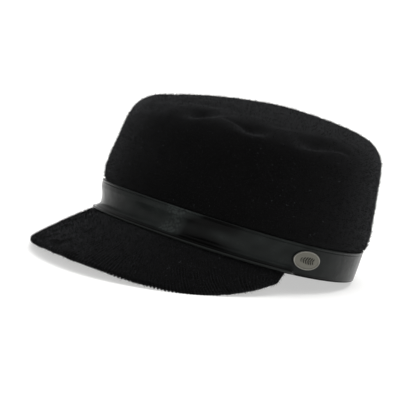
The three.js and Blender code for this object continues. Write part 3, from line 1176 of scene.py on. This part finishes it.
@dataclass(frozen=True)
class FulledKnit(Finish):
    """Black wool knit, fulled and brushed: rough all over, with a soft sheen from its loose fibres."""

    dark: str = "#040404"
    light: str = "#0c0c0c"
    pale: str = "#5d6064"
    tint: str = "#e6e9f0"
    sheen: float = 0.075
    # A real stitch is about 1.5 mm wide, and is drawn a little wider so that it shows.
    wale: float = 2.2
    course: float = 1.7
    stitch_depth: float = 0.06
    # How much darker the stitches' hollows are painted than their legs: painted shade.
    stitch_shade: float = 0.15
    # How much a stitch's legs slant, how much its loops rise, and how far stitches stray over which distance.
    slant: float = 1.1
    loop: float = 0.35
    stray: float = 1.1
    stray_size: float = 4
    fibre: float = 0.8
    fibre_depth: float = 0.3
    # How uneven the dye is, and over which distance.
    mottle: float = 0.6
    mottle_size: float = 14

    def stitches(self, tree: bpy.types.NodeTree) -> bpy.types.Node:
        """Adds the knit's stitches: two slanted legs to each wale, which fade on the top.

        Args:
            tree: The material's nodes.

        Returns:
            The node that gives their height.
        """
        add = partial(add_node, tree)
        place = add("ShaderNodeTexCoord").outputs["Object"]
        uneven = {"Vector": place, "Scale": 1 / (self.stray_size * MM), "Detail": 2.0}
        stray = add("ShaderNodeTexNoise", inputs=uneven).outputs["Color"]
        flat = add("ShaderNodeUVMap", {"uv_map": Mark.KNIT.value})
        by = (self.stray, self.stray, 0)
        moved = add("ShaderNodeVectorMath", {"operation": "MULTIPLY_ADD"}, (stray, by, flat))
        size = (1 / self.wale, 1 / self.course, 0)
        scaled = add("ShaderNodeVectorMath", {"operation": "MULTIPLY"}, (moved, size))
        parts = add("ShaderNodeSeparateXYZ", inputs=(scaled,))
        step = add("ShaderNodeMath", {"operation": "FRACT"}, (parts,))
        middle = add("ShaderNodeMath", {"operation": "SUBTRACT"}, (step, 0.5))
        aside = add("ShaderNodeMath", {"operation": "ABSOLUTE"}, (middle,))
        swing = add("ShaderNodeMath", {"operation": "MULTIPLY"}, (aside, TURN))
        legs = add("ShaderNodeMath", {"operation": "SINE"}, (swing,))
        leaning = (aside, self.slant, parts.outputs["Y"])
        slant = add("ShaderNodeMath", {"operation": "MULTIPLY_ADD"}, leaning)
        turned = add("ShaderNodeMath", {"operation": "MULTIPLY"}, (slant, TURN))
        loops = add("ShaderNodeMath", {"operation": "SINE"}, (turned,))
        eased = add("ShaderNodeMath", {"operation": "MULTIPLY_ADD"}, (loops, self.loop, 1 - self.loop))
        height = add("ShaderNodeMath", {"operation": "MULTIPLY"}, (legs, eased))
        top = add("ShaderNodeAttribute", {"attribute_name": Mark.TOP.value}).outputs["Fac"]
        kept = add("ShaderNodeMapRange", inputs=(top, 0, 1, 1, 0))
        return add("ShaderNodeMath", {"operation": "MULTIPLY"}, (height, kept))

    def surface(self, tree: bpy.types.NodeTree) -> Inputs:
        """What goes into the shader.

        Args:
            tree: The material's nodes.

        Returns:
            Its inputs.
        """
        add = partial(add_node, tree)
        place = add("ShaderNodeTexCoord").outputs["Object"]
        tangle = {"Detail": 4.0, "Roughness": 0.65, "Distortion": 0.6}
        fibres = {"Vector": place, "Scale": 1 / (self.fibre * MM)}
        fine = add("ShaderNodeTexNoise", inputs=fibres | tangle)
        clouds = {"Vector": place, "Scale": 1 / (self.mottle_size * MM), "Detail": 3.0}
        cloudy = add("ShaderNodeTexNoise", inputs=clouds)
        stitches = self.stitches(tree)
        uneven = (cloudy, self.mottle, -self.mottle / 2)
        mottle = add("ShaderNodeMath", {"operation": "MULTIPLY_ADD"}, uneven)
        # Painted shade: the stitches' hollows darken the colour and their legs lighten it, over the dye's
        # mottle.
        lit = (stitches, self.stitch_shade, mottle)
        shade = add("ShaderNodeMath", {"operation": "MULTIPLY_ADD"}, lit)
        blend = add("ShaderNodeMath", {"operation": "ADD", "use_clamp": True}, (shade, fine))
        dyed = {0: blend, 6: linear(self.dark), 7: linear(self.light)}
        wool = add("ShaderNodeMix", {"data_type": "RGBA"}, dyed).outputs[2]
        lone = add("ShaderNodeAttribute", {"attribute_name": Mark.PALE.value}).outputs["Fac"]
        colour = add("ShaderNodeMix", {"data_type": "RGBA"}, {0: lone, 6: wool, 7: linear(self.pale)})
        raised = {"Height": stitches, "Distance": self.stitch_depth * MM, "Strength": 1.0}
        knit = add("ShaderNodeBump", inputs=raised)
        brushed = {"Height": fine, "Distance": self.fibre_depth * MM, "Strength": 1.0, "Normal": knit}
        return {
            "Base Color": colour.outputs[2],
            "Normal": add("ShaderNodeBump", inputs=brushed),
            "Roughness": 1.0,
            "Specular IOR Level": 0.05,
            "Sheen Weight": self.sheen,
            "Sheen Roughness": 0.45,
            "Sheen Tint": linear(self.tint),
        }


@dataclass(frozen=True)
class FinishedLeather(Finish):
    """Black finished leather: gloss over a fine pressed grain, painted grey in places for rubbed wear and for
    reflections, and dry at its edges.
    """

    name: str = "finished_leather"
    dark: str = "#040404"
    # Painted reflection: the grey painted where the room is mirrored in the leather, and where it is rubbed.
    paler: str = "#2e3231"
    dry: str = "#202221"
    # A real grain is under 1 mm wide, and is drawn wider so that it shows.
    grain: float = 1.7
    grain_depth: float = 0.12
    crease: float = 5
    crease_depth: float = 0.18
    # Each of these turns one span of values to another: the rub and painted reflection to how scuffed it is,
    # the grain to how much lighter the scuffs are painted in it as glints, and the rub and painted reflection
    # to how rough the leather is.
    scuff_and_glint: Ends = (0.45, 1, 0, 1)
    speckle: Ends = (0.1, 0.8, 0.7, -0.6)
    gloss: Ends = (0, 1, 0.18, 0.32)
    # The folds are worn up where the rub and painted reflection are strong, and lie flat where they aren't.
    raise_folds: Ends = (0, 0.35, 0.15, 1)

    def surface(self, tree: bpy.types.NodeTree) -> Inputs:
        """What goes into the shader.

        Args:
            tree: The material's nodes.

        Returns:
            Its inputs.
        """
        add = partial(add_node, tree)
        place = add("ShaderNodeTexCoord").outputs["Object"]
        pebbles = {"Vector": place, "Scale": 1 / (self.grain * MM), "Smoothness": 0.4}
        cells = add("ShaderNodeTexVoronoi", {"feature": "SMOOTH_F1"}, pebbles)
        wrinkled = {"Detail": 6.0, "Roughness": 0.6, "Distortion": 0.8}
        folding = {"Vector": place, "Scale": 1 / (self.crease * MM)}
        creases = add("ShaderNodeTexNoise", inputs=folding | wrinkled)
        worn = add("ShaderNodeAttribute", {"attribute_name": Mark.EDGE.value}).outputs["Fac"]
        rub = add("ShaderNodeAttribute", {"attribute_name": Mark.RUB.value}).outputs["Fac"]
        speckle = add("ShaderNodeMapRange", inputs=(cells, *self.speckle))
        scuffed_and_glinting = add("ShaderNodeMapRange", inputs=(rub, *self.scuff_and_glint))
        # Painted reflection and glints: the colour is grey where the room's reflections fall, with lighter
        # grain cells there, over rubbed wear.
        share = add("ShaderNodeMath", {"operation": "MULTIPLY_ADD"}, (scuffed_and_glinting, speckle, rub))
        greyed = {0: share, 6: linear(self.dark), 7: linear(self.paler)}
        face = add("ShaderNodeMix", {"data_type": "RGBA"}, greyed).outputs[2]
        colour = add("ShaderNodeMix", {"data_type": "RGBA"}, {0: worn, 6: face, 7: linear(self.dry)})
        raised = add("ShaderNodeMapRange", inputs=(rub, *self.raise_folds))
        fold = add("ShaderNodeMath", {"operation": "MULTIPLY"}, (creases, raised))
        folded = {"Height": fold, "Distance": self.crease_depth * MM, "Strength": 1.0}
        folds = add("ShaderNodeBump", inputs=folded)
        # The grain shows where the leather is scuffed and the painted reflection is strong.
        pit = add("ShaderNodeMath", {"operation": "MULTIPLY"}, (cells, scuffed_and_glinting))
        pitted = {"Height": pit, "Distance": self.grain_depth * MM, "Strength": 1.0, "Normal": folds}
        return {
            "Base Color": colour.outputs[2],
            "Normal": add("ShaderNodeBump", {"invert": True}, pitted),
            "Roughness": add("ShaderNodeMapRange", inputs=(share, *self.gloss)),
            "IOR": 1.45,
            "Specular IOR Level": 0.07,
        }


@dataclass(frozen=True)
class DullPewter(Finish):
    """Dull pewter: a soft grey metal, darkest on its sprig and posts, blasted in its field and bright on its
    border.
    """

    name: str = "dull_pewter"
    darkest: str = "#252420"
    base: str = "#67665f"
    paler: str = "#86857f"
    # The blasting leaves pits about a third of a millimetre wide, which half show.
    grit: float = 1 / 3
    grit_depth: float = 0.1
    grit_shown: float = 0.5

    def surface(self, tree: bpy.types.NodeTree) -> Inputs:
        """What goes into the shader.

        Args:
            tree: The material's nodes.

        Returns:
            Its inputs.
        """
        worn = add_node(tree, "ShaderNodeAttribute", {"attribute_name": Mark.EDGE.value}).outputs["Fac"]
        stops = [(0.0, linear(self.darkest)), (0.5, linear(self.base)), (1.0, linear(self.paler))]
        return {
            "Base Color": add_node(tree, "ShaderNodeValToRGB", inputs=(worn,), stops=stops),
            "Metallic": 1.0,
            "Normal": self.tooth(tree, self.grit, self.grit_depth, self.grit_shown),
            "Roughness": 0.42,
        }


@dataclass(frozen=True)
class LitTable(Finish):
    """A white acrylic table, matt, and lit evenly from below so that shadows on it stay soft."""

    name: str = "lit_acrylic"
    base: str = "#c4c4c3"
    glow: str = "#fbfbfa"
    glow_strength: float = 0.53
    # The tooth of the sheet, drawn wider than the real one so that it shows faintly.
    grit: float = 10 / 9
    grit_depth: float = 0.1
    grit_shown: float = 0.2

    def surface(self, tree: bpy.types.NodeTree) -> Inputs:
        """What goes into the shader.

        Args:
            tree: The material's nodes.

        Returns:
            Its inputs.
        """
        return {
            "Base Color": linear(self.base),
            "Normal": self.tooth(tree, self.grit, self.grit_depth, self.grit_shown),
            "Roughness": 0.9,
            "Emission Color": linear(self.glow),
            "Emission Strength": self.glow_strength,
        }


@dataclass
class Studio:
    """A pale floor, a soft overhead light, a pale room and the camera, which keeps its place at the cap."""

    azimuth: float = math.radians(45)
    elevation: float = math.radians(3.6)
    roll: float = math.radians(16.17)
    distance: float = 1347.47
    aside: float = -19.46
    above: float = 30.83
    lens: float = 168.83
    sensor: float = 36
    # In metres.
    floor_side: float = 12
    sun_way: tuple[float, float, float] = (0.05, 0.22, 0.97)
    sun_angle: float = math.radians(50)
    sun_strength: float = 2.0
    brightest: float = 2.0
    # How bright the room is overhead, and how far up it changes to that, with 1 for straight up.
    overhead: float = 0.42
    overhead_from: Span = (0.35, 0.85)
    # The turn from the front in degrees, and how bright the room is there.
    room: tuple[Span, ...] = (
        (-180, 0.3), (-127, 0.25), (-95, 0.2), (-70, 0.24), (-46, 0.24), (-20, 0.22), (-6, 0.3),
        (0, 0.9), (22, 0.9), (28, 0.02), (43, 0.02), (60, 0.05), (66, 0.25), (85, 0.2), (120, 0.08),
        (150, 0.06), (170, 0.2), (180, 0.3),
    )

    def lay_floor(self) -> None:
        """Lays the floor."""
        made = bmesh.new()
        bmesh.ops.create_grid(made, x_segments=4, y_segments=4, size=self.floor_side / 2)
        floor = as_piece(made, "floor")
        floor.data.materials.append(LitTable().make())

    def light(self) -> None:
        """Lights the cap softly from above and behind."""
        data = bpy.data.lights.new("overhead_light", "SUN")
        data.angle = self.sun_angle
        data.energy = self.sun_strength
        holder = bpy.data.objects.new("overhead_light", data)
        bpy.context.scene.collection.objects.link(holder)
        # The diffused light is too wide and faint to be seen mirrored in the leather.
        holder.visible_glossy = False
        holder.rotation_euler = (-Vector(self.sun_way)).to_track_quat("-Z", "Y").to_euler()

    def fill_room(self) -> None:
        """Fills the room with pale light, which changes round it and overhead."""
        world = bpy.data.worlds.new("pale_room")
        bpy.context.scene.world = world
        world.use_nodes = True
        world.node_tree.nodes.clear()
        add = partial(add_node, world.node_tree)
        way = add("ShaderNodeTexCoord").outputs["Generated"]
        parts = add("ShaderNodeSeparateXYZ", inputs=(way,))
        ahead = add("ShaderNodeMath", {"operation": "MULTIPLY"}, (parts.outputs["Y"], -1))
        turn = add("ShaderNodeMath", {"operation": "ARCTAN2"}, (parts, ahead))
        share = add("ShaderNodeMapRange", inputs=(turn, -math.pi, math.pi, 0, 1))
        stops = [((degrees + 180) / 360, (value, value, value, 1)) for degrees, value in self.room]
        around = add("ShaderNodeValToRGB", inputs=(share,), stops=stops)
        rising = (parts.outputs["Z"], *self.overhead_from, 0, 1)
        high = add("ShaderNodeMapRange", {"interpolation_type": "SMOOTHSTEP"}, rising)
        level = (self.overhead, self.overhead, self.overhead, 1)
        colour = add("ShaderNodeMix", {"data_type": "RGBA"}, {0: high, 6: around, 7: level})
        lit = {"Color": colour.outputs[2], "Strength": self.brightest}
        sky = add("ShaderNodeBackground", inputs=lit)
        add("ShaderNodeOutputWorld", inputs={"Surface": sky})
        bpy.context.scene.view_settings.view_transform = "Standard"

    def back_way(self) -> Vector:
        """From the cap towards the camera, in the cap's own frame."""
        ahead = math.cos(self.azimuth) * math.cos(self.elevation)
        left = math.sin(self.azimuth) * math.cos(self.elevation)
        return Vector((left, -ahead, math.sin(self.elevation)))

    def set_camera(self) -> None:
        """Sets up the camera."""
        data = bpy.data.cameras.new("camera")
        data.lens = self.lens
        data.sensor_width = self.sensor
        camera = bpy.data.objects.new("camera", data)
        bpy.context.scene.collection.objects.link(camera)
        back = self.back_way()
        level = Vector((math.cos(self.azimuth), math.sin(self.azimuth), 0))
        rise = back.cross(level)
        right = level * math.cos(self.roll) + rise * math.sin(self.roll)
        up = rise * math.cos(self.roll) - level * math.sin(self.roll)
        eye = back * self.distance + right * self.aside + up * self.above
        turned = STAND.turned().to_3x3()
        axes = Matrix([turned @ right, turned @ up, turned @ back]).transposed()
        camera.matrix_world = Matrix.Translation(STAND.moved() @ eye) @ axes.to_4x4()
        bpy.context.scene.camera = camera


def main() -> None:
    """Builds the cap and its studio."""
    logging.basicConfig(level=logging.INFO, format="%(name)s: %(message)s")
    studio = Studio()
    studio.set_camera()
    studio.lay_floor()
    studio.light()
    studio.fill_room()
    plain_knit = FulledKnit("fulled_wool_knit").make()
    ribbed_wool = FulledKnit("ribbed_wool_knit", "#030303", "#0a0a0a", sheen=0.13, wale=3.4, course=1.3)
    ribbed_knit = ribbed_wool.make()
    band = Band()
    crown = Crown().build()
    hand_over(crown, plain_knit, "crown")
    hand_over(Fuzz("crown_fuzz", 44000, 11).grow(crown), plain_knit)
    hand_over(band.build(), FinishedLeather().make(), "band")
    peak = Peak().build()
    hand_over(peak, ribbed_knit, "peak")
    hand_over(Fuzz("peak_fuzz", 30000, 12).grow(peak), ribbed_knit)
    hand_over(Badge(band).build(), DullPewter().make(), "badge")


if __name__ == "__main__":
    main()
